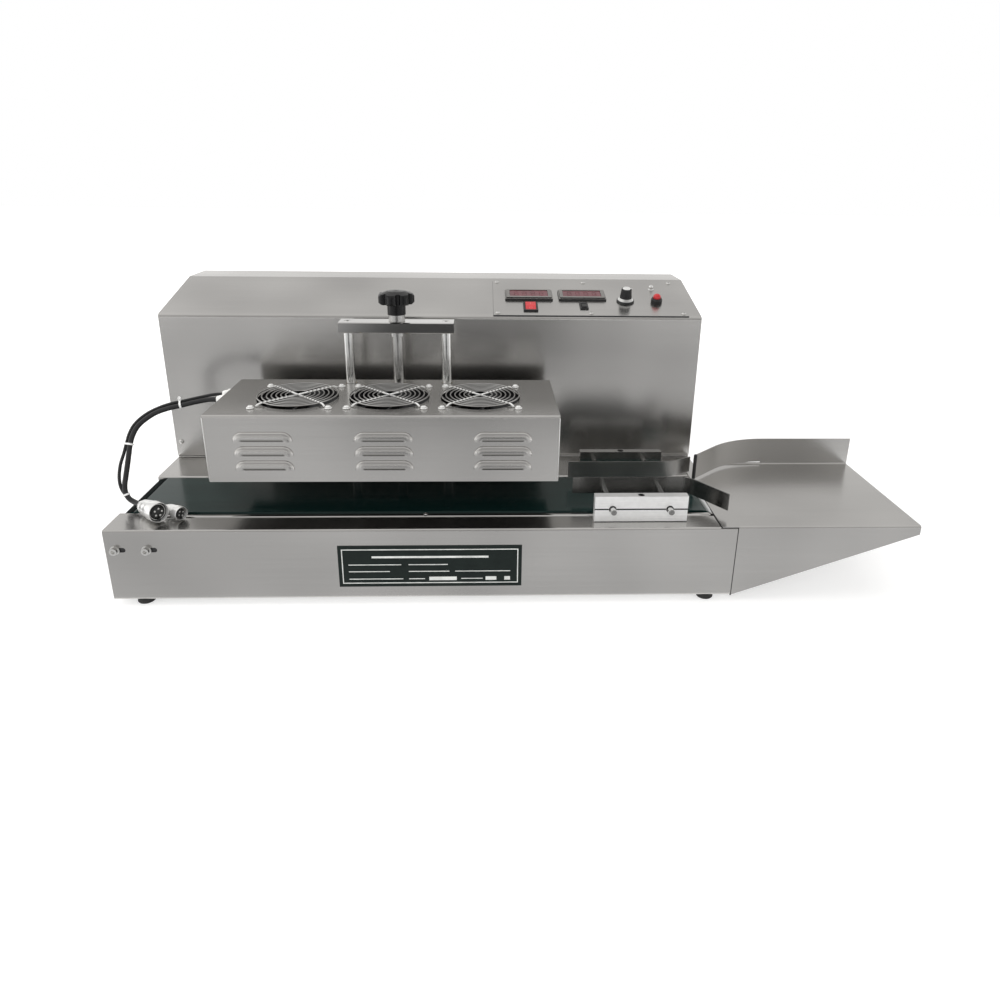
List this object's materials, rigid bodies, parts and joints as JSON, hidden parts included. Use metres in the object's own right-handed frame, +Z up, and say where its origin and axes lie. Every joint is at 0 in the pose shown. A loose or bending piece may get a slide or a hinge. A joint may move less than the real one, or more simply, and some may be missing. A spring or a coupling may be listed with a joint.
{
  "type": "induction cap sealer",
  "caption": "Bench-top induction cap sealer: belt conveyor base with feed table, sloped control cabinet and a fan-cooled sealing head lifted by a star-knob screw on posts.",
  "frame": {"origin": "middle of the machine's footprint, on the surface that the feet stand on", "axes": "+X along the conveyor towards the feed table, +Y from the front panel to the cabinet's back, +Z up"},
  "size_m": [1.1281, 0.521, 0.408],
  "materials": {
    "brushed_steel": "brushed stainless sheet, grain along the length",
    "polished_steel": "fine ground stainless",
    "aluminium": "milled aluminium",
    "chrome": "polished",
    "screw_steel": "machined screw heads",
    "belt_green": "dark green coated belt, slightly satin",
    "foot_rubber": "matte black rubber",
    "bearing_dark": "dark engineering plastic",
    "motor_dark": "dark painted castings",
    "nameplate": "dark printed plate, blank fields only",
    "black_plastic": "black moulded plastic",
    "knob_black": "black bakelite-like plastic",
    "red_plastic": "red moulded plastic",
    "lens_red": "dark red filter lens",
    "white_plastic": "white laminate and nylon",
    "board_green": "green circuit board",
    "copper": "enamelled copper",
    "bush_brass": "turned brass",
    "cord_black": "black cord jacket",
    "plug_metal": "nickel plated shell"
  },
  "bodies": {
    "base": {"base_shell": "brushed_steel", "feet": "foot_rubber", "slider_bed": "polished_steel", "conveyor_belt": "belt_green", "tail_bearings": "bearing_dark", "drive_bearings": "bearing_dark", "tension_bolts": "screw_steel", "gear_motor": "motor_dark", "nameplate": "nameplate", "feed_table": "brushed_steel", "front_block_lower": "aluminium", "front_block_upper": "aluminium", "rear_block_lower": "aluminium", "rear_block_upper": "aluminium", "clamp_screws": "chrome", "cabinet_shell": "brushed_steel", "cabinet_back": "brushed_steel", "panel_screws": "screw_steel", "control_plate": "brushed_steel", "meter_left": "black_plastic", "meter_right": "black_plastic", "meter_lenses": "lens_red", "power_switch_frame": "black_plastic", "mode_switch_frame": "black_plastic", "speed_dial": "chrome", "indicator_lamp": "chrome", "button_collar": "black_plastic", "mains_gland": "black_plastic", "heat_sink": "aluminium", "generator_board": "board_green", "guide_posts": "chrome", "crossbar": "aluminium", "power_cord": "cord_black", "signal_cord": "cord_black", "power_plug": "plug_metal", "signal_plug": "plug_metal"},
    "head": {"head_cover": "brushed_steel", "coil_plate": "white_plastic", "induction_coil": "copper", "fan_frames": "black_plastic", "fan_guards": "chrome", "guard_screws": "chrome", "lift_bushes": "bush_brass", "cord_glands": "white_plastic"},
    "lift": {"lift_screw": "chrome", "lift_knob": "knob_black"},
    "fan_left": {"fan_rotor_left": "black_plastic"},
    "fan_middle": {"fan_rotor_middle": "black_plastic"},
    "fan_right": {"fan_rotor_right": "black_plastic"},
    "drive": {"drive_roller": "polished_steel", "shaft_coupling": "motor_dark"},
    "tail": {"tail_roller": "polished_steel"},
    "front_guide": {"front_guide_rods": "chrome", "front_guide_rail": "polished_steel"},
    "rear_guide": {"rear_guide_rods": "chrome", "rear_guide_rail": "polished_steel"},
    "power_switch": {"power_rocker": "red_plastic"},
    "mode_switch": {"mode_rocker": "black_plastic"},
    "speed": {"speed_knob": "black_plastic"},
    "button": {"push_button": "red_plastic"}
  },
  "joints": [
    {"name": "head_lift", "type": "slide", "parent": "base", "child": "head", "axis": [0, 0, 1], "range_m": [-0.04, 0.07], "deforming": ["power_cord", "signal_cord"]},
    {"name": "knob_turn", "type": "hinge", "parent": "base", "child": "lift", "pos_m": [-0.1739, -0.058, 0.3], "axis": [0, 0, 1], "range_deg": [-2530, 1450]},
    {"name": "fan_left_spin", "type": "hinge", "parent": "head", "child": "fan_left", "pos_m": [-0.3094, -0.135, 0.25], "axis": [0, 0, 1], "continuous": true},
    {"name": "fan_middle_spin", "type": "hinge", "parent": "head", "child": "fan_middle", "pos_m": [-0.1794, -0.135, 0.25], "axis": [0, 0, 1], "continuous": true},
    {"name": "fan_right_spin", "type": "hinge", "parent": "head", "child": "fan_right", "pos_m": [-0.0494, -0.135, 0.25], "axis": [0, 0, 1], "continuous": true},
    {"name": "drive_spin", "type": "hinge", "parent": "base", "child": "drive", "pos_m": [0.2701, -0.135, 0.087], "axis": [0, 1, 0], "continuous": true},
    {"name": "tail_spin", "type": "hinge", "parent": "base", "child": "tail", "pos_m": [-0.5359, -0.135, 0.087], "axis": [0, 1, 0], "continuous": true},
    {"name": "front_guide_slide", "type": "slide", "parent": "base", "child": "front_guide", "axis": [0, 1, 0], "range_m": [-0.05, 0.01]},
    {"name": "rear_guide_slide", "type": "slide", "parent": "base", "child": "rear_guide", "axis": [0, 1, 0], "range_m": [-0.01, 0.032]},
    {"name": "power_rock", "type": "hinge", "parent": "base", "child": "power_switch", "pos_m": [0.0316, 0.04123, 0.36576], "axis": [1, 0, 0], "range_deg": [-16, 0]},
    {"name": "mode_rock", "type": "hinge", "parent": "base", "child": "mode_switch", "pos_m": [0.1191, 0.04559, 0.36688], "axis": [1, 0, 0], "range_deg": [0, 16]},
    {"name": "speed_turn", "type": "hinge", "parent": "base", "child": "speed", "pos_m": [0.1906, 0.06593, 0.37211], "axis": [0, -0.2487, 0.9686], "range_deg": [-20, 280]},
    {"name": "button_press", "type": "slide", "parent": "base", "child": "button", "axis": [0, -0.2487, 0.9686], "range_m": [-0.004, 0], "stiffness_N_per_m": 500}
  ],
  "couplings": [
    {"joint": "knob_turn", "follows": "head_lift", "rad_per_m": -628.32},
    {"joint": "tail_spin", "follows": "drive_spin", "ratio": 1}
  ]
}
